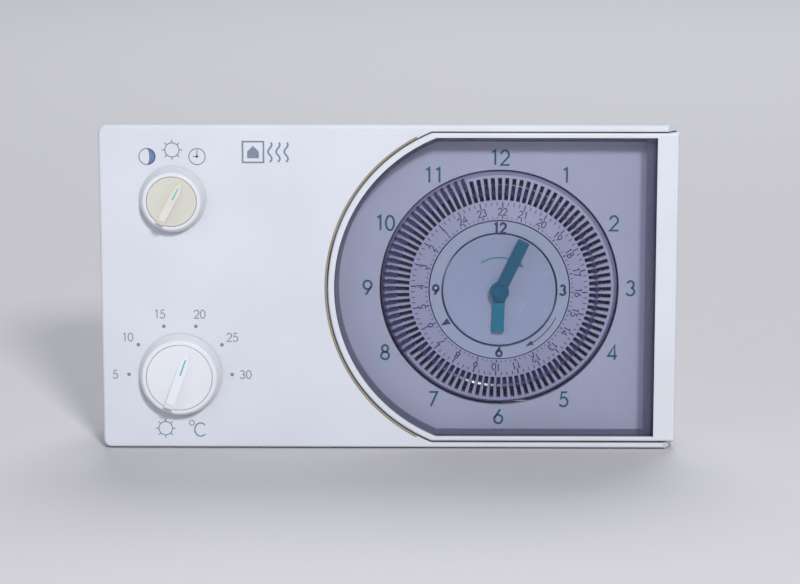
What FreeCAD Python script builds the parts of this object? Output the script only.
import FreeCAD, Part
import Sketcher
import math
import os
import re

# Wall-mounted room temperature controller with an analogue 24-hour programme dial.
# Every piece is drawn in a wall frame: x to the right, y up, z out of the wall.
# part() turns it into the row's frame: X right, Z up, the front facing -Y,
# the wall plane at Y = 0 and the origin midway between the two wall screws.
# All sizes are in millimetres. "depth" is a distance out of the wall.

DIMENSIONS = {
    # case
    "case_width": 172, "case_height": 98, "case_corner": 2.4, "case_edge": 0.9,
    "case_wall": 1.8, "face_depth": 36, "face_wall": 2.0, "case_back": 0.6,
    "side_depth": 28.2, "rail_end": 3.4, "rail_slope": 4.6,
    "waist_depth": 24.2, "waist_width": 170.8, "waist_height": 96.4, "back_width": 163, "back_height": 88,
    # door and window opening, both about the recess centre
    "recess_x": 32.6, "recess_radius": 51.2, "recess_half": 47.2,
    "door_radius": 50.8, "door_right": 86, "door_half": 46.8, "door_thick": 3.0, "door_return": 30.2,
    "window_radius": 48.9, "window_half": 45.3, "window_right": 79.6,
    "pane_margin": 0.9, "pane_front": 35.5, "pane_thick": 1.4,
    "pane_band": 1.4, "pane_band_right": 3, "pane_rim_back": 31.6,
    "hinge_x": 83.2, "hinge_depth": 32.9, "hinge_pin": 0.8, "hinge_pin_length": 6, "running": 0.05,
    # clock plate and dial
    "plate_depth": 26, "plate_thick": 1.6, "plate_right": 83.4, "plate_hole": 36.1,
    "dial_x": 33.2, "dial_y": -1.7, "rim_radius": 34.5, "rim_depth": 26.5,
    "rim_flare": 1.1, "flare_depth": 23.9, "dial_inner": 21.3, "dial_inner_depth": 29.0, "dial_skin": 1.1,
    "slot_inner": 27.1, "slot_outer": 33.7, "slot_width": 1.2, "slot_count": 96, "dial_offset": 2,
    "pivot_radius": 31.0, "pivot_depth": 23.3, "pivot_wire": 0.4, "tappet_width": 0.96,
    "web_depth": 22.2, "web_thick": 0.6, "carrier_radius": 33.7, "tappet_eye": 0.9,
    "tappet_flip": 60, "head_start": 31.0, "head_end": 35.2, "head_bottom": 26.85, "head_top": 27.6,
    # fixed ring, setting disc and hands
    "ring_outer": 20.95, "ring_inner": 17.5, "ring_depth": 29.3, "disc_radius": 16.9, "disc_depth": 28.6,
    "minute_length": 16.9, "hour_length": 12.6, "hand_width": 3.6, "hand_hub": 2.9,
    "hour_depth": 30.4, "minute_depth": 31.5, "hub_depth": 32.9,
    "minute_angle": 25.5, "hour_angle": 182,
    # concentric pipes of the movement
    "arbor": 0.9, "hour_pipe": 1.7, "disc_pipe": 2.3, "fixed_tube": 3.6, "dial_hub": 10,
    # motion work
    "motion_centre": 12, "idler_centre": 19.2, "gear_width": 1.1,
    "level_drive": 9.2, "level_cannon": 10.8, "level_hour": 12.4, "level_disc": 14.0, "level_dial": 17.6,
    "base_depth": 6.2, "base_thick": 1.6, "bridge_depth": 15.7, "bridge_thick": 1.2,
    "cover_depth": 19.6, "cover_thick": 1.2, "movement_half": 32.5, "movement_wall": 1.4,
    # controls
    "mode_x": -64.1, "mode_y": 26.8, "mode_skirt": 9.9, "mode_cap": 7.5, "mode_turn": 28,
    "heat_x": -62.5, "heat_y": -26.4, "heat_skirt": 12.5, "heat_cap": 9.95, "heat_turn": 20,
    "skirt_gap": 0.4, "skirt_height": 4.3, "cap_rise": 0.5, "shaft": 3,
    # boards and terminals
    "board_depth": 19, "board_thick": 1.6, "board_left": -81, "board_right": -24, "board_half": 43,
    "wall_plate_thick": 2.6, "wall_plate_gap": 0.5, "wall_slot_spacing": 60, "wall_slot": 2.1,
    "wall_slot_length": 9, "lug_height": 10,
    "case_screw_radius": 1.2, "case_screw_head": 2.4, "case_screw_depth": 6,
    "terminal_x": -57.5, "terminal_pitch": 7, "terminal_count": 6, "terminal_low": -20, "terminal_high": -8,
    "terminal_height": 13,
    # microswitch at the dial's edge, from the dial axis
    "switch_left": -14.5, "switch_right": 1, "switch_y": -38.5, "switch_half": 3, "switch_back": 12,
    "switch_front": 22, "plunger_x": -8, "plunger_radius": 1, "plunger_end": 22.6,
    "lever_pivot_x": -0.4, "lever_depth": 23.25, "lever_half": 1.7, "lever_thick": 0.8, "lever_pin": 0.6,
}

BOARD_SCREWS = [(x, y) for x in (-79, -28) for y in (-39.5, 39.5)]
MOVEMENT_SCREWS = [(x, y) for x in (-29, 29) for y in (-29, 29)]
FAR = 60  # the depth at which a cutter has passed right through everything

doc = FreeCAD.newDocument("room_timer")
sheet = doc.addObject("Spreadsheet::Sheet", "dims")
for row, (alias, number) in enumerate(DIMENSIONS.items(), start=1):
    sheet.set("A%d" % row, alias)
    sheet.set("B%d" % row, str(number))
    sheet.setAlias("B%d" % row, alias)
doc.recompute()

WORD = re.compile(r"\b(" + "|".join(sorted(DIMENSIONS, key=len, reverse=True)) + r")\b")
FRONT = FreeCAD.Rotation(FreeCAD.Vector(1, 0, 0), 90)
subparts = []


def size(alias):
    return float(getattr(sheet, alias))


def formula(text):
    return WORD.sub(r"dims.\1", str(text))


def bind(item, **formulas):
    for name, text in formulas.items():
        item.setExpression(name, formula(text))
    return item


def move(item, x=0, y=0, z=0):
    for axis, text in (("x", x), ("y", y), ("z", z)):
        item.setExpression("Placement.Base." + axis, formula(text))
    return item


def make(kind, name="shape"):
    return doc.addObject(kind, name)


def box(x0, x1, y0, y1, z0, z1):
    item = bind(make("Part::Box"), Length=f"({x1}) - ({x0})", Width=f"({y1}) - ({y0})",
                Height=f"({z1}) - ({z0})")
    return move(item, x0, y0, z0)


def cylinder(radius, z0, z1, x=0, y=0):
    item = bind(make("Part::Cylinder"), Radius=radius, Height=f"({z1}) - ({z0})")
    return move(item, x, y, z0)


def cone(low_radius, high_radius, z0, z1, x=0, y=0):
    item = bind(make("Part::Cone"), Radius1=low_radius, Radius2=high_radius, Height=f"({z1}) - ({z0})")
    return move(item, x, y, z0)


def upright(radius, y0, y1, x, z):
    """A cylinder whose axis is vertical on the wall."""
    item = bind(make("Part::Cylinder"), Radius=radius, Height=f"({y1}) - ({y0})")
    item.Placement = FreeCAD.Placement(FreeCAD.Vector(), FreeCAD.Rotation(FreeCAD.Vector(1, 0, 0), -90))
    return move(item, x, y0, z)


def tapered(low_width, low_height, low_depth, high_width, high_height, high_depth, inset=0):
    """A centred block whose width and height change evenly with depth, drawn in by inset."""
    item = bind(make("Part::Wedge"),
                Xmin=f"{inset} - {low_width} / 2", Xmax=f"{low_width} / 2 - {inset}",
                Zmin=f"{inset} - {low_height} / 2", Zmax=f"{low_height} / 2 - {inset}",
                X2min=f"{inset} - {high_width} / 2", X2max=f"{high_width} / 2 - {inset}",
                Z2min=f"{inset} - {high_height} / 2", Z2max=f"{high_height} / 2 - {inset}",
                Ymin=low_depth, Ymax=high_depth)
    item.Placement = FreeCAD.Placement(FreeCAD.Vector(), FreeCAD.Rotation(FreeCAD.Vector(1, 0, 0), 90))
    return item


def fuse(*items):
    if len(items) == 1:
        return items[0]
    union = make("Part::MultiFuse")
    union.Shapes = list(items)
    union.Refine = True
    return union


def cut(base, *tools):
    result = make("Part::Cut")
    result.Base = base
    result.Tool = fuse(*tools)
    result.Refine = True
    return result


def common(first, second):
    result = make("Part::Common")
    result.Base = first
    result.Tool = second
    return result


def group(items):
    result = make("Part::Compound")
    result.Links = list(items)
    return result


def solid(shape):
    item = make("Part::Feature")
    item.Shape = shape
    return item


def rounded(item, radius, wanted):
    """Fillet the edges of item for which wanted(edge) is true."""
    doc.recompute()
    edges = [number for number, edge in enumerate(item.Shape.Edges, start=1) if wanted(edge)]
    result = make("Part::Fillet")
    result.Base = item
    result.Edges = [(number, radius, radius) for number in edges]
    return result


def part(label, shape, x=0, y=0):
    """Name a finished sub-part and stand it up in the row's frame."""
    item = group([shape])
    item.Label = label
    item.Placement = FreeCAD.Placement(FreeCAD.Vector(), FRONT)
    for axis, text in (("x", x), ("z", y)):
        item.setExpression("Placement.Base." + axis, formula(text))
    subparts.append(item)


def dial_part(label, item):
    part(label, item, "dial_x", "dial_y")


# ---------------------------------------------------------------- sketched outlines

def plane_sketch(body, name, depth):
    sketch = body.newObject("Sketcher::SketchObject", name)
    plane = [item for item in body.Origin.OriginFeatures if item.Role == "XY_Plane"][0]
    sketch.AttachmentSupport = [(plane, "")]
    sketch.MapMode = "FlatFace"
    sketch.setExpression("AttachmentOffset.Base.z", formula(depth))
    return sketch


def d_outline(body, name, depth, radius, half, right):
    """Sketch a D: an arc about the recess centre on the left, a square end on the right."""
    sketch = plane_sketch(body, name, depth)
    reach = math.sqrt(size_of(radius) ** 2 - size_of(half) ** 2)
    centre = size("recess_x")
    corner = math.atan2(size_of(half), -reach)
    top, end = size_of(half), size_of(right)
    circle = Part.Circle(FreeCAD.Vector(centre, 0, 0), FreeCAD.Vector(0, 0, 1), size_of(radius))
    sketch.addGeometry(Part.ArcOfCircle(circle, corner, 2 * math.pi - corner))
    corners = [FreeCAD.Vector(centre - reach, -top, 0), FreeCAD.Vector(end, -top, 0),
               FreeCAD.Vector(end, top, 0), FreeCAD.Vector(centre - reach, top, 0)]
    for start, stop in zip(corners, corners[1:]):
        sketch.addGeometry(Part.LineSegment(start, stop))
    for first, second in ((0, 1), (1, 2), (2, 3)):
        sketch.addConstraint(Sketcher.Constraint("Coincident", first, 2, second, 1))
    sketch.addConstraint(Sketcher.Constraint("Coincident", 3, 2, 0, 1))
    sketch.addConstraint(Sketcher.Constraint("Horizontal", 1))
    sketch.addConstraint(Sketcher.Constraint("Vertical", 2))
    sketch.addConstraint(Sketcher.Constraint("Horizontal", 3))
    sketch.addConstraint(Sketcher.Constraint("PointOnObject", 0, 3, -1))
    driven = [("DistanceX", (-1, 1, 0, 3), centre, "recess_x"), ("Radius", (0,), size_of(radius), radius),
              ("DistanceY", (-1, 1, 3, 1), top, half), ("DistanceY", (1, 2, -1, 1), top, half),
              ("DistanceX", (-1, 1, 2, 1), end, right)]
    for kind, where, number, text in driven:
        index = sketch.addConstraint(Sketcher.Constraint(kind, *where, number))
        sketch.setExpression("Constraints[%d]" % index, formula(text))
    return sketch


def size_of(text):
    """The number behind a short sum of aliases and numbers, such as 'pane_margin + 3'."""
    total, sign = 0.0, 1
    for token in str(text).split():
        if token in "+-":
            sign = 1 if token == "+" else -1
        else:
            total += sign * (size(token) if token in DIMENSIONS else float(token))
    return total


def d_plate(label, z0, z1, radius, half, right):
    """A flat D-shaped plate from depth z0 to z1."""
    body = make("PartDesign::Body", label)
    pad = body.newObject("PartDesign::Pad", "pad")
    pad.Profile = d_outline(body, "outline", z0, radius, half, right)
    bind(pad, Length=f"({z1}) - ({z0})")
    body.Tip = pad
    return body


# ---------------------------------------------------------------- wall plate

def wall_plate():
    edge = "case_wall + wall_plate_gap"
    half_width, half_height = f"(back_width / 2 - ({edge}))", f"(back_height / 2 - ({edge}))"
    plate = box(f"-{half_width}", half_width, f"-{half_height}", half_height, 0, "wall_plate_thick")
    lug = box(-6, 6, f"-{half_height}", -36, 0, "lug_height")
    hooks = [box(x - 5, x + 5, f"{half_height} - 2", half_height, 0, 9) for x in (-45, 45)]
    slots = []
    for side in (-1, 1):
        centre = f"({side} * wall_slot_spacing / 2)"
        straight = "(wall_slot_length / 2 - wall_slot)"
        slots.append(box(f"{centre} - {straight}", f"{centre} + {straight}",
                         "-wall_slot", "wall_slot", -1, 5))
        slots += [cylinder("wall_slot", -1, 5, x=f"{centre} + {end} * {straight}") for end in (-1, 1)]
    cable_entry = box(-76, -46, 14, 32, -1, 5)
    screw_hole = upright("case_screw_radius + 0.1", -50, -35, 0, "case_screw_depth")
    part("wall_plate", cut(fuse(plate, lug, *hooks), cable_entry, screw_hole, *slots))
    screw = fuse(upright("case_screw_radius", -44, -37, 0, "case_screw_depth"),
                 upright("case_screw_head", -44.9, -43.6, 0, "case_screw_depth"))
    slot = box(-2.6, 2.6, -46, -44.3, 5.7, 6.3)
    part("case_screw", cut(screw, slot))


def terminals():
    pitch, count = size("terminal_pitch"), int(size("terminal_count"))
    left = size("terminal_x") - pitch * count / 2
    block = box(left, left + pitch * count, "terminal_low", "terminal_high", "wall_plate_thick",
                "terminal_height")
    wells, screws, clamps, pins = [], [], [], []
    for index in range(count):
        x = left + pitch * (index + 0.5)
        wells += [box(x - 2.5, x + 2.5, -17.5, -12, 3.8, 14), box(x - 2.5, x + 2.5, -12.5, -7, 3.8, 9)]
        screws.append(cut(cylinder(1.9, 8.2, 12, x, -14.8),
                          box(x - 2.2, x + 2.2, -15.1, -14.5, 11.2, 12.4)))
        clamps.append(box(x - 2.2, x + 2.2, -17.2, -12.4, 4.2, 7.8))
        pins.append(box(x - 0.4, x + 0.4, -19.4, -18.6, "terminal_height + 0.2", "board_depth"))
    part("terminal_block", cut(block, *wells))
    part("terminal_screws", group(screws))
    part("terminal_clamps", group(clamps))
    part("contact_pins", group(pins))


# ---------------------------------------------------------------- front housing

def front_housing():
    waist = ("waist_width", "waist_height", "waist_depth")
    back, front = ("back_width", "back_height", "case_back"), ("case_width", "case_height", "face_depth")
    outer = fuse(tapered(*back, *waist), tapered(*waist, *front))
    outer = rounded(outer, size("case_corner"), runs_in_depth)
    outer = rounded(outer, size("case_edge"), lambda edge: is_at_depth(edge, size("face_depth")))
    inside = fuse(tapered("back_width", "back_height", "case_back - 1", *waist, inset="case_wall"),
                  tapered(*waist, "case_width", "case_height", "face_depth - face_wall", inset="case_wall"))
    opening = d_plate("recess_opening", 1, FAR, "recess_radius", "recess_half", "case_width")
    rail_gap = d_plate("recess_side", "side_depth", FAR, "recess_radius", "recess_half", 120)
    front_right = box(-40, "waist_width / 2 - case_wall", -60, 60, "waist_depth", FAR)
    shell = cut(outer, inside, common(opening, front_right), rail_gap)
    wall = common(d_plate("wall_outside", "plate_depth - 1.6", "face_depth - 1",
                          "recess_radius + 1.5", "recess_half + 0.6", 60), box(-30, 16, -48, 48, 20, 40))
    wall = cut(wall, d_plate("wall_inside", 10, 50, "recess_radius", "recess_half + 2", 90))
    bosses = [cylinder(2.8, "board_depth + board_thick", "face_depth - face_wall + 0.4", x, y)
              for x, y in BOARD_SCREWS]
    plate_posts = [cylinder(2.4, "plate_depth - 6", "plate_depth - plate_thick", x, y)
                   for x, y in ((78, 42.5), (78, -42.5))]
    webs = [box(78, "waist_width / 2 - 1", y - 1, y + 1, "plate_depth - 6", "plate_depth - plate_thick")
            for y in (42.5, -42.5)]
    holes = [cylinder(4.4, 30, 40, "mode_x", "mode_y"), cylinder(4.4, 30, 40, "heat_x", "heat_y")]
    boss_holes = [cylinder(1.05, 19, 30, x, y) for x, y in BOARD_SCREWS]
    hinge = [upright("hinge_pin + running", low, high, "hinge_x", "hinge_depth")
             for low, high in (("-recess_half - 1.3", "-recess_half + 1"),
                               ("recess_half - 1", "recess_half + 1.3"))]
    screw_hole = [upright("case_screw_radius + 0.3", -50, -42, 0, "case_screw_depth"),
                  upright("case_screw_head + 0.3", -50, -43.6, 0, "case_screw_depth")]
    vents = [box(x - 1, x + 1, side * 47 - 3, side * 47 + 3, 9, 22)
             for x in range(-76, -36, 5) for side in (-1, 1)]
    slope = [rail_chamfer(side) for side in (-1, 1)]
    body = fuse(shell, wall, *bosses, *plate_posts, *webs)
    part("front_housing", cut(body, *holes, *boss_holes, *hinge, *screw_hole, *vents, *slope))


def rail_chamfer(side):
    """The slanted right-hand end of the rail above or below the door."""
    right, front = size("case_width") / 2, size("face_depth")
    height = side * size("case_height") / 2
    corners = [(right - size("rail_end"), front + 0.1), (right + 1, front - size("rail_slope") - 1.4),
               (right + 1, front + 0.1)]
    points = [FreeCAD.Vector(x, height - 3, z) for x, z in corners]
    face = Part.Face(Part.makePolygon(points + points[:1]))
    return solid(face.extrude(FreeCAD.Vector(0, 6, 0)))


def runs_in_depth(edge):
    depths = [vertex.Point.z for vertex in edge.Vertexes]
    return max(depths) - min(depths) > 1


def is_at_depth(edge, depth):
    return all(abs(vertex.Point.z - depth) < 1e-6 for vertex in edge.Vertexes)


def clock_plate():
    plate = d_plate("clock_plate_blank", "plate_depth - plate_thick", "plate_depth",
                    "recess_radius - 0.25", "recess_half - 0.25", "plate_right")
    hole = cylinder("plate_hole", 20, 30, "dial_x", "dial_y")
    part("clock_plate", cut(plate, hole))


# ---------------------------------------------------------------- door

def door():
    blank = d_plate("door_blank", "face_depth - door_thick", "face_depth", "door_radius", "door_half",
                    "door_right")
    side = box("door_right - 1.4", "door_right", "-door_half", "door_half", "door_return",
               "face_depth - 1.6")
    slab = rounded(fuse(blank, side), 0.7, lambda edge: is_at_depth(edge, size("face_depth")))
    opening = d_plate("door_opening", 20, 50, "window_radius", "window_half", "window_right")
    seat = d_plate("door_seat", 20, "pane_front", "window_radius + pane_margin",
                   "window_half + pane_margin", "window_right + pane_margin")
    knuckles = [upright(1.75, end, f"{end} + 7", "hinge_x", "hinge_depth")
                for end in ("-door_half", "door_half - 7")]
    bores = [upright("hinge_pin", low, high, "hinge_x", "hinge_depth")
             for low, high in (("-door_half - 1", "-door_half + hinge_pin_length"),
                               ("door_half - hinge_pin_length", "door_half + 1"))]
    part("door_frame", cut(fuse(slab, *knuckles), opening, seat, *bores))
    margin = "pane_margin - 0.05"
    pane = d_plate("pane_blank", "pane_front - pane_thick", "pane_front", f"window_radius + {margin}",
                   f"window_half + {margin}", f"window_right + {margin}")
    rim = cut(d_plate("pane_rim_blank", "pane_rim_back", "pane_front - 0.4", f"window_radius + {margin}",
                      f"window_half + {margin}", f"window_right + {margin}"),
              d_plate("pane_rim_inside", 20, 50, "window_radius - pane_band", "window_half - pane_band",
                      "window_right - pane_band_right"))
    part("door_window", fuse(pane, rim))
    pins = [upright("hinge_pin", low, high, "hinge_x", "hinge_depth")
            for low, high in (("-door_half - 1.3", "-door_half + hinge_pin_length - 0.2"),
                              ("door_half - hinge_pin_length + 0.2", "door_half + 1.3"))]
    part("hinge_pins", group(pins))


# ---------------------------------------------------------------- knobs

def pointer_fin(reach, tail, width, low, high):
    """An ogive bar that rises from its tip to its highest point at its tail."""
    tip, shoulder = FreeCAD.Vector(0, reach, 0), reach * 0.45
    right, left = FreeCAD.Vector(width / 2, shoulder, 0), FreeCAD.Vector(-width / 2, shoulder, 0)
    foot_right, foot_left = FreeCAD.Vector(width / 2, -tail, 0), FreeCAD.Vector(-width / 2, -tail, 0)
    bulge = FreeCAD.Vector(width * 0.36, (reach + shoulder) / 2, 0)
    mirror = FreeCAD.Vector(-bulge.x, bulge.y, 0)
    plan = Part.Wire([Part.LineSegment(foot_left, foot_right).toShape(),
                      Part.LineSegment(foot_right, right).toShape(),
                      Part.Arc(right, bulge, tip).toShape(), Part.Arc(tip, mirror, left).toShape(),
                      Part.LineSegment(left, foot_left).toShape()])
    bar = Part.Face(plan).extrude(FreeCAD.Vector(0, 0, high + 1))
    side = [FreeCAD.Vector(-width, reach, -1), FreeCAD.Vector(-width, reach, low),
            FreeCAD.Vector(-width, -tail * 0.82, high), FreeCAD.Vector(-width, -tail, high * 0.9),
            FreeCAD.Vector(-width, -tail, -1)]
    wedge = Part.Face(Part.makePolygon(side + side[:1])).extrude(FreeCAD.Vector(2 * width, 0, 0))
    return bar.common(wedge)


def turn_about_axis(item, degrees):
    item.Placement = FreeCAD.Placement(FreeCAD.Vector(), FreeCAD.Rotation(FreeCAD.Vector(0, 0, 1), degrees))
    return item


def knob(name, at_x, at_y, skirt, cap, turn, fin_width):
    base = "face_depth + skirt_gap"
    top = f"{base} + skirt_height"
    skirt_shape = cone(skirt, f"{skirt} - 1.3", base, top)
    skirt_shape = rounded(skirt_shape, 0.9, lambda edge: is_at_depth(edge, size_of(top)))
    bore = cylinder("shaft + 0.02", 20, 60)
    seat = cylinder(cap, f"{top} - 1.4", 60)
    hollow = cut(cylinder(f"{skirt} - 1.9", 20, f"{top} - 2.6"), cylinder("shaft + 1.6", 10, 60))
    part(name + "_knob_skirt", cut(skirt_shape, bore, seat, hollow), at_x, at_y)
    disc = cylinder(f"{cap} - 0.12", f"{top} - 1.35", f"{top} + cap_rise")
    disc = rounded(disc, 0.35, lambda edge: is_at_depth(edge, size_of(top) + size("cap_rise")))
    cap_radius = size(cap)
    fin = pointer_fin(cap_radius * 0.86, cap_radius * 0.93, fin_width, 0.7, 3.4)
    fin.translate(FreeCAD.Vector(0, 0, size_of(top) + size("cap_rise") - 0.3))
    groove = box(-0.22, 0.22, f"{cap} * 0.12", f"{cap} * 0.62", f"{top} + 1.3", 60)
    whole = turn_about_axis(cut(fuse(disc, solid(fin)), groove), -size(turn))
    part(name + "_knob_cap", whole, at_x, at_y)
    inlay = common(box(-0.2, 0.2, f"{cap} * 0.12 + 0.02", f"{cap} * 0.62 - 0.02", f"{top} + 1.31", 60),
                   solid(fin.copy()))
    part(name + "_pointer_line", turn_about_axis(inlay, -size(turn)), at_x, at_y)
    part(name + "_shaft", cylinder("shaft", "board_depth + 6", f"{top} - 1.5"), at_x, at_y)


def control_units():
    switch = cut(box(-9, 9, -9, 9, "board_depth + board_thick", 28), cylinder("shaft + running", 24, 40))
    part("mode_switch", cut(switch, cylinder("shaft + 0.2", 22, 26)), "mode_x", "mode_y")
    track = fuse(cylinder(8.5, "board_depth + board_thick", 27.5),
                 box(-6, 6, -13, 0, "board_depth + board_thick", 25))
    part("setpoint_potentiometer", cut(track, cylinder("shaft + running", 22, 40)),
         "heat_x", "heat_y")


# ---------------------------------------------------------------- main board

def main_board():
    board = box("board_left", "board_right", "-board_half", "board_half", "board_depth",
                "board_depth + board_thick")
    part("main_pcb", cut(board, *[cylinder(1.3, 10, 30, x, y) for x, y in BOARD_SCREWS]))
    screws = [fuse(cylinder(1.0, 17.2, 28, x, y), cylinder(2.2, 17.2, "board_depth", x, y))
              for x, y in BOARD_SCREWS]
    part("pcb_screws", group(screws))
    part("smoothing_capacitor", cylinder(4, "board_depth + board_thick", 32.5, -36, 20))
    part("room_sensor", cylinder(1.6, 12.5, "board_depth", -40, -38))
    part("output_relay", box(-46, -30, -12, 6, "board_depth + board_thick", 31))
    part("link_header", box(-31, -27, 20, 34, 12.6, "board_depth"))


# ---------------------------------------------------------------- gears

def gear(teeth, pitch_radius, width, bore, first_tooth):
    """A spur gear with stub teeth and backlash, its first tooth at first_tooth degrees."""
    module = 2 * pitch_radius / teeth
    root, tip = pitch_radius - 1.05 * module, pitch_radius + 0.72 * module
    pitch = 2 * math.pi / teeth
    points = []
    for tooth in range(teeth):
        middle = math.radians(first_tooth) + tooth * pitch
        for radius, offset in ((root, -0.27), (pitch_radius, -0.205), (tip, -0.09),
                               (tip, 0.09), (pitch_radius, 0.205), (root, 0.27)):
            angle = middle + offset * pitch
            points.append(FreeCAD.Vector(radius * math.cos(angle), radius * math.sin(angle), 0))
    blank = Part.Face(Part.makePolygon(points + points[:1])).extrude(FreeCAD.Vector(0, 0, width))
    return blank.cut(Part.makeCylinder(bore, width)) if bore else blank


def meshing_tooth(teeth, first_tooth, mate_teeth, direction):
    """Where a mating gear, seen in the given direction, has its first tooth."""
    pitch, mate_pitch = 360 / teeth, 360 / mate_teeth
    share = ((direction - first_tooth) / pitch) % 1
    return direction + 180 + (share + 0.5) * mate_pitch


def gear_at(depth, teeth, pitch_radius, bore, first_tooth, x=0, y=0):
    shape = gear(teeth, pitch_radius, size("gear_width"), bore, first_tooth)
    shape.translate(FreeCAD.Vector(x, y, size(depth)))
    return solid(shape)


def polar(radius, degrees):
    return radius * math.cos(math.radians(degrees)), radius * math.sin(math.radians(degrees))


MOTION_DIRECTION, IDLER_DIRECTION, MOTOR_DIRECTION = 200, -20, 90
CANNON_TEETH, MINUTE_TEETH = 12, 36
MINUTE_PINION_TEETH, HOUR_TEETH = 10, 40
IDLER_TEETH, IDLER_PINION_TEETH, DIAL_TEETH = 40, 15, 30
DRIVE_TEETH, MOTOR_TEETH = 45, 15


def motion_work():
    centre = size("motion_centre")
    cannon = centre * CANNON_TEETH / (CANNON_TEETH + MINUTE_TEETH)
    hour = centre * HOUR_TEETH / (HOUR_TEETH + MINUTE_PINION_TEETH)
    drive = centre * DRIVE_TEETH / (DRIVE_TEETH + MOTOR_TEETH)
    wheel_tooth = meshing_tooth(CANNON_TEETH, 0, MINUTE_TEETH, MOTION_DIRECTION)
    hour_tooth = meshing_tooth(MINUTE_PINION_TEETH, wheel_tooth, HOUR_TEETH, MOTION_DIRECTION + 180)
    idler_tooth = meshing_tooth(HOUR_TEETH, hour_tooth, IDLER_TEETH, IDLER_DIRECTION)
    dial_tooth = meshing_tooth(IDLER_PINION_TEETH, idler_tooth, DIAL_TEETH, IDLER_DIRECTION + 180)
    motor_tooth = meshing_tooth(DRIVE_TEETH, 0, MOTOR_TEETH, MOTOR_DIRECTION)

    arbor = cylinder("arbor", "base_depth + 0.3", "minute_depth")
    dial_part("minute_arbor", fuse(arbor, gear_at("level_drive", DRIVE_TEETH, drive, 0, 0),
                                   gear_at("level_cannon", CANNON_TEETH, cannon, 0, 0)))
    pipe = cut(cylinder("hour_pipe", "level_hour", "hour_depth"), cylinder("arbor + running", 5, 40))
    dial_part("hour_pipe_wheel", fuse(pipe, gear_at("level_hour", HOUR_TEETH, hour, 1.2, hour_tooth)))
    pipe = cut(cylinder("disc_pipe", "level_disc", "disc_depth - 1"),
               cylinder("hour_pipe + running", 5, 40))
    dial_part("disc_pipe_pinion", fuse(pipe, gear_at("level_disc", CANNON_TEETH, cannon, 2.0, 0)))

    x, y = polar(centre, MOTION_DIRECTION)
    shaft = cylinder(0.8, "base_depth + 0.6", "bridge_depth + 0.7", x, y)
    wheels = [gear_at(level, MINUTE_TEETH, centre - cannon, 0, wheel_tooth, x, y)
              for level in ("level_cannon", "level_disc")]
    pinion_width = size("level_disc") - size("level_cannon")
    pinion = gear(MINUTE_PINION_TEETH, centre - hour, pinion_width, 0, wheel_tooth)
    pinion.translate(FreeCAD.Vector(x, y, size("level_cannon")))
    dial_part("minute_wheel", fuse(shaft, solid(pinion), *wheels))

    reach = size("idler_centre")
    idler = reach * IDLER_TEETH / (IDLER_TEETH + HOUR_TEETH)
    dial_gear = reach * DIAL_TEETH / (DIAL_TEETH + IDLER_PINION_TEETH)
    x, y = polar(reach, IDLER_DIRECTION)
    shaft = cylinder(1.0, "base_depth + 0.6", "cover_depth + 0.7", x, y)
    dial_part("dial_idler", fuse(shaft, gear_at("level_hour", IDLER_TEETH, idler, 0, idler_tooth, x, y),
                                 gear_at("level_dial", IDLER_PINION_TEETH, reach - dial_gear, 0,
                                         idler_tooth, x, y)))
    x, y = polar(centre, MOTOR_DIRECTION)
    motor_gear = gear_at("level_drive", MOTOR_TEETH, centre - drive, 0, motor_tooth, x, y)
    motor_shaft = cylinder(0.7, "base_depth + 0.6", "level_cannon + 1", x, y)
    dial_part("motor_pinion", fuse(motor_gear, motor_shaft))
    return dial_gear, dial_tooth


# ---------------------------------------------------------------- clock movement

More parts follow.
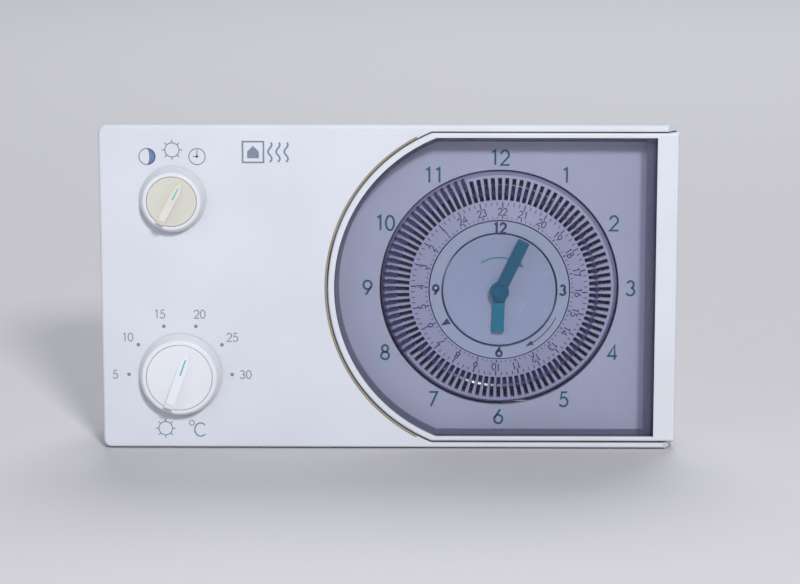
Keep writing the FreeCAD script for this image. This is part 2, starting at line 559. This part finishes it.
def movement():
    half, wall = "movement_half", "movement_wall"
    outer = box(f"-{half}", half, f"-{half}", half, "base_depth", "cover_depth")
    inside = box(f"-({half} - {wall})", f"{half} - {wall}", f"-({half} - {wall})", f"{half} - {wall}",
                 "base_depth + base_thick", 40)
    posts = [cylinder(2.2, "base_depth", "cover_depth", x, y) for x, y in MOVEMENT_SCREWS]
    pillars = [(-22.5, -13.3), (-22.5, 7), (29, -13.5), (29, 7)]
    props = [cylinder(1.5, "base_depth", "bridge_depth", x, y) for x, y in pillars]
    motion_x, motion_y = polar(size("motion_centre"), MOTION_DIRECTION)
    idler_x, idler_y = polar(size("idler_centre"), IDLER_DIRECTION)
    motor_x, motor_y = polar(size("motion_centre"), MOTOR_DIRECTION)
    bearings = [cylinder("arbor + running", 5, 30), cylinder("0.8 + running", 5, 30, motion_x, motion_y),
                cylinder("1.0 + running", 5, 30, idler_x, idler_y),
                cylinder("0.7 + running", 5, 30, motor_x, motor_y)]
    posts_holes = [cylinder(0.85, 12, 40, x, y) for x, y in MOVEMENT_SCREWS]
    dial_part("movement_base", cut(fuse(cut(outer, inside), *posts, *props), *bearings, *posts_holes))

    bridge = box(-24.5, 31, -15.3, 8.6, "bridge_depth", "bridge_depth + bridge_thick")
    tube = cylinder("fixed_tube", "bridge_depth", "disc_depth - 2.6")
    bridge_holes = [cylinder("disc_pipe + running", 5, 40), cylinder(0.85, 5, 16.6, motion_x, motion_y),
                    cylinder(1.6, 5, 40, idler_x, idler_y)]
    dial_part("movement_bridge", cut(fuse(bridge, tube), *bridge_holes))

    cover = fuse(box(f"-{half}", half, f"-{half}", half, "cover_depth", "cover_depth + cover_thick"),
                 cylinder("plate_hole - 0.9", "cover_depth", "cover_depth + cover_thick"))
    cover_holes = [cylinder("dial_hub + running", 5, 40),
                   cylinder("1.0 + running", 5, 40, idler_x, idler_y)]
    cover_holes += [cylinder(1.1, 5, 40, x, y) for x, y in MOVEMENT_SCREWS]
    dial_part("movement_cover", cut(cover, *cover_holes))
    heads = [fuse(cylinder(0.8, 13, "cover_depth + cover_thick", x, y),
                  cylinder(1.7, "cover_depth + cover_thick", "cover_depth + cover_thick + 0.7", x, y))
             for x, y in MOVEMENT_SCREWS]
    dial_part("movement_screws", group(heads))
    dial_part("gear_motor", cut(cylinder(7.6, "level_cannon + 0.3", "level_dial - 0.4", 0, 18.4),
                                cylinder("0.7 + running", 5, "level_cannon + 1.2", motor_x, motor_y)))
    dial_part("clock_pcb", box(-26, 26, -30.5, -17.6, "base_depth + base_thick",
                               "base_depth + base_thick + 1.2"))
    dial_part("quartz_crystal", box(-22, -14, -27, -23.6, 9.0, 12.4))
    dial_part("backup_cell", cylinder(6, 9.0, 14, 14, -24.2))
    dial_part("driver_chip", box(-8, 0, -27, -21, 9.0, 11))


def switch_gear():
    """The microswitch at the dial's edge and the lever that follows the tappets."""
    switch = box("switch_left", "switch_right", "switch_y - switch_half", "switch_y + switch_half",
                 "switch_back", "switch_front")
    plunger_well = cylinder("plunger_radius + running", 16, FAR, "plunger_x", "switch_y")
    dial_part("microswitch", cut(switch, plunger_well))
    dial_part("switch_plunger", cylinder("plunger_radius", 17, "plunger_end", "plunger_x", "switch_y"))
    blade = box(-13, 0, "switch_y - lever_half", "switch_y + lever_half",
                "lever_depth - lever_thick / 2", "lever_depth + lever_thick / 2")
    pin = upright("lever_pin", "switch_y - 2.2", "switch_y + 2.1", "lever_pivot_x", "lever_depth")
    dial_part("switch_lever", fuse(blade, pin))


# ---------------------------------------------------------------- dial, tappets, hands

def dial_face(dial_gear, dial_tooth):
    inner, rim = "dial_inner", "rim_radius"
    top = cone("rim_radius", inner, "rim_depth", "dial_inner_depth")
    under = cone("rim_radius - 0.9", inner, "rim_depth - dial_skin", "dial_inner_depth - dial_skin")
    flare = cone("rim_radius + rim_flare", rim, "flare_depth", "rim_depth")
    skin = fuse(top, flare, cylinder("rim_radius + rim_flare", "rim_depth - 3.4", "flare_depth"))
    cavity = fuse(under, cylinder("rim_radius - 0.7", "rim_depth - 4", "rim_depth - dial_skin"))
    bore = cylinder(inner, 10, 40)
    dial_part("dial_face", cut(skin, cavity, bore, solid(radial_slots())))

    web = cylinder("carrier_radius", "web_depth - web_thick", "web_depth")
    outer_wall = cut(cylinder("carrier_radius", "web_depth", "web_depth + 2.4"),
                     cylinder("carrier_radius - 0.6", 5, 40))
    inner_wall = cut(cylinder("dial_inner + 1.2", "web_depth", "dial_inner_depth - dial_skin - 0.6"),
                     cylinder("dial_inner + 0.2", 5, 40))
    hub = cylinder("dial_hub", "level_dial + gear_width", "web_depth")
    gear_ring = gear_at("level_dial", DIAL_TEETH, dial_gear, 0, dial_tooth)
    saddles = [saddle(step * 45 + 2) for step in range(8)]
    tunnel = cylinder("fixed_tube + 0.1", 5, 40)
    dial_part("dial_carrier", cut(fuse(web, outer_wall, inner_wall, hub, gear_ring, *saddles), tunnel))
    wire = make("Part::Torus")
    bind(wire, Radius1="pivot_radius", Radius2="pivot_wire")
    move(wire, z="pivot_depth")
    dial_part("tappet_pivot_wire", wire)


def saddle(clockwise):
    """A small rib under the pivot wire, between two slots."""
    top = size("pivot_depth") - size("pivot_wire") - 0.04
    low = size("web_depth") - 0.3
    rib = Part.makeBox(0.5, 2.2, top - low, FreeCAD.Vector(-0.25, size("pivot_radius") - 1.1, low))
    rib.rotate(FreeCAD.Vector(), FreeCAD.Vector(0, 0, 1), -clockwise)
    return solid(rib)


def slot_angles():
    """Clockwise angle of each slot from the top, one for each quarter of an hour."""
    step = 360 / size("slot_count")
    return [size("dial_offset") + step * (index + 0.5) for index in range(int(size("slot_count")))]


def radial_slots():
    width, length = size("slot_width"), size("slot_outer") - size("slot_inner")
    cutter = Part.makeBox(width, length, 20, FreeCAD.Vector(-width / 2, size("slot_inner"), 24.3))
    cutters = []
    for clockwise in slot_angles():
        turned = cutter.copy()
        turned.rotate(FreeCAD.Vector(), FreeCAD.Vector(0, 0, 1), -clockwise)
        cutters.append(turned)
    return Part.makeCompound(cutters)


def tappet(clockwise, inward):
    """One captive tappet: an eye on the pivot wire, a stem through the slot and a finger head."""
    pivot, depth, width = size("pivot_radius"), size("pivot_depth"), size("tappet_width")
    start, end = size("head_start"), size("head_end")
    low, high = size("head_bottom"), size("head_top")
    side = -width / 2
    outline = [(pivot - 0.5, depth + 0.3), (start + 0.9, low), (start + 0.05, low), (start, high - 0.15),
               (start + 0.2, high), (end - 0.5, high), (end, high - 0.4), (end, low), (start + 2.2, low),
               (pivot + 0.65, depth - 0.1)]
    points = [FreeCAD.Vector(side, radius, level) for radius, level in outline]
    arm = Part.Face(Part.makePolygon(points + points[:1])).extrude(FreeCAD.Vector(width, 0, 0))
    axis = FreeCAD.Vector(1, 0, 0)
    eye = Part.makeCylinder(size("tappet_eye"), width, FreeCAD.Vector(side, pivot, depth), axis)
    wire_hole = size("pivot_wire") + 0.06
    hole = Part.makeCylinder(wire_hole, width + 1, FreeCAD.Vector(side - 0.5, pivot, depth), axis)
    shape = arm.fuse(eye).removeSplitter().cut(hole)
    if inward:
        shape.rotate(FreeCAD.Vector(0, pivot, depth), axis, size("tappet_flip"))
    shape.rotate(FreeCAD.Vector(), FreeCAD.Vector(0, 0, 1), -clockwise)
    return shape


def tappets():
    """Out from 23:15 to 06:30, the night programme; in for the rest of the day."""
    out, inside = [], []
    for clockwise in slot_angles():
        clock = (22 + (size("dial_offset") - clockwise) / 15) % 24
        (out if clock > 23.25 or clock < 6.5 else inside).append((clock, clockwise))
    out.sort(key=lambda pair: (pair[0] + 12) % 24)
    inside.sort()
    dial_part("tappet_night_first", solid(tappet(out[0][1], False)))
    dial_part("tappet_night_last", solid(tappet(out[-1][1], False)))
    dial_part("tappet_day_first", solid(tappet(inside[0][1], True)))
    dial_part("tappet_day_last", solid(tappet(inside[-1][1], True)))
    dial_part("tappets_night", solid(Part.makeCompound([tappet(angle, False) for _, angle in out[1:-1]])))
    dial_part("tappets_day", solid(Part.makeCompound([tappet(angle, True) for _, angle in inside[1:-1]])))


def centre_ring():
    rim = cut(cylinder("ring_outer", "ring_depth - 3.2", "ring_depth"), cylinder("ring_inner", 5, 40))
    web = cylinder("ring_outer", "disc_depth - 3.6", "disc_depth - 2.6")
    dial_part("centre_ring", cut(fuse(rim, web), cylinder("fixed_tube + running", 5, 40)))


def hand(length, width, hub, low, thick, clockwise, bore, collar_low):
    bar = box(-width / 2, width / 2, 0, length, low, low + thick)
    boss = cylinder(hub, collar_low, low + thick)
    return turn_about_axis(cut(fuse(bar, boss), cylinder(bore, 5, low + thick - 0.2)), -clockwise)


def disc_and_hands():
    disc = fuse(cylinder("disc_radius", "disc_depth - 1", "disc_depth"),
                cylinder(3.3, "disc_depth - 2.2", "disc_depth"))
    disc = cut(disc, cylinder("disc_pipe", 5, "disc_depth - 1"), cylinder("hour_pipe + running", 5, 40))
    dial_part("setting_disc", disc)
    width = size("hand_width")
    hour = hand(size("hour_length"), width, 2.6, size("hour_depth") - 0.6, 0.8, size("hour_angle"),
                size("hour_pipe"), size("hour_depth") - 0.6)
    dial_part("hour_hand", cut(hour, cylinder("arbor + running", 5, 40)))
    minute = hand(size("minute_length"), width, size("hand_hub"), size("minute_depth"), 0.7,
                  size("minute_angle"), 0.05, size("minute_depth"))
    cap = cylinder(2.0, "minute_depth + 0.5", "hub_depth")
    dial_part("minute_hand", fuse(minute, cap))


# ---------------------------------------------------------------- assembly

wall_plate()
terminals()
front_housing()
clock_plate()
door()
knob("mode", "mode_x", "mode_y", "mode_skirt", "mode_cap", "mode_turn", 2.3)
knob("setpoint", "heat_x", "heat_y", "heat_skirt", "heat_cap", "heat_turn", 2.6)
control_units()
main_board()
movement()
switch_gear()
dial_face(*motion_work())
tappets()
centre_ring()
disc_and_hands()
doc.recompute()

for item in doc.Objects:
    if "Invalid" in item.State or "Error" in item.State:
        raise RuntimeError("failed feature: %s %s %s" % (item.Name, item.Label, item.State))
os.makedirs("parts", exist_ok=True)
for item in subparts:
    if item.Shape.isNull() or not item.Shape.isValid():
        raise RuntimeError("bad shape: " + item.Label)
    item.Shape.exportStep(os.path.join("parts", item.Label + ".step"))
    print(item.Label, len(item.Shape.Solids), round(item.Shape.Volume, 1))
print(len(subparts), "sub-parts")
